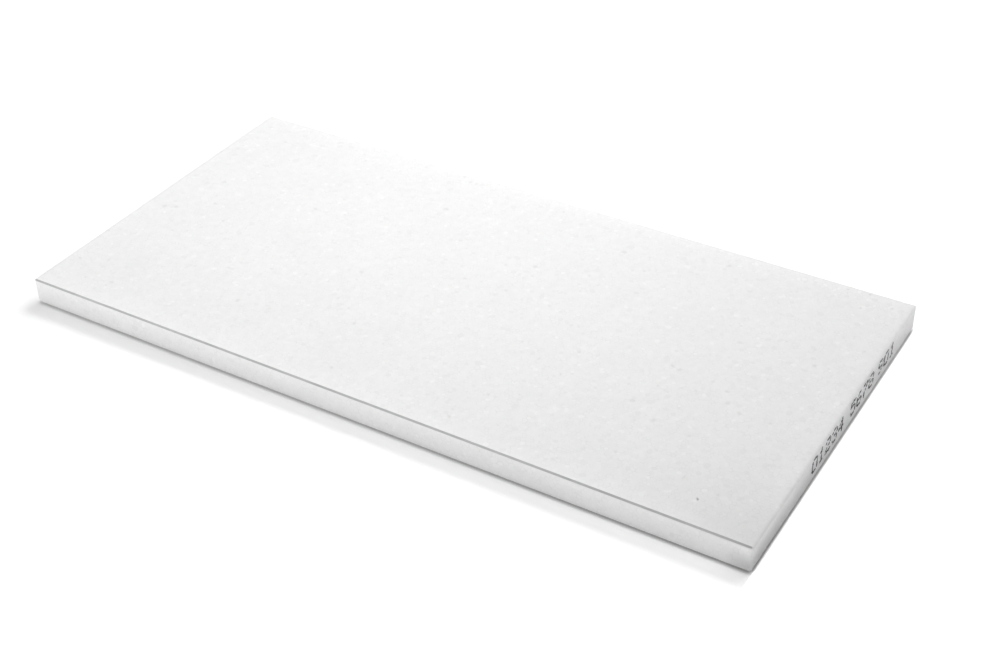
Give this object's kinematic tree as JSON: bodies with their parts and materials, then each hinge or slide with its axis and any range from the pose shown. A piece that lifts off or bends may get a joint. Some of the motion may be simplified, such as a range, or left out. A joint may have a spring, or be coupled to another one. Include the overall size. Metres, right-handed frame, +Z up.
{
  "type": "expanded polystyrene board",
  "caption": "Flat rectangular insulation board of white bead foam, with wire-trimmed long arrises, softly rounded ends and square butt edges.",
  "frame": {"origin": "middle of the face that the board lies on", "axes": "+X along the length, +Y across the width, +Z up through the thickness"},
  "size_m": [1, 0.5, 0.035],
  "materials": {
    "bead_foam": "white bead foam, matte, with a fine pattern of fused beads"
  },
  "bodies": {
    "root": {"board": "bead_foam"}
  },
  "joints": []
}
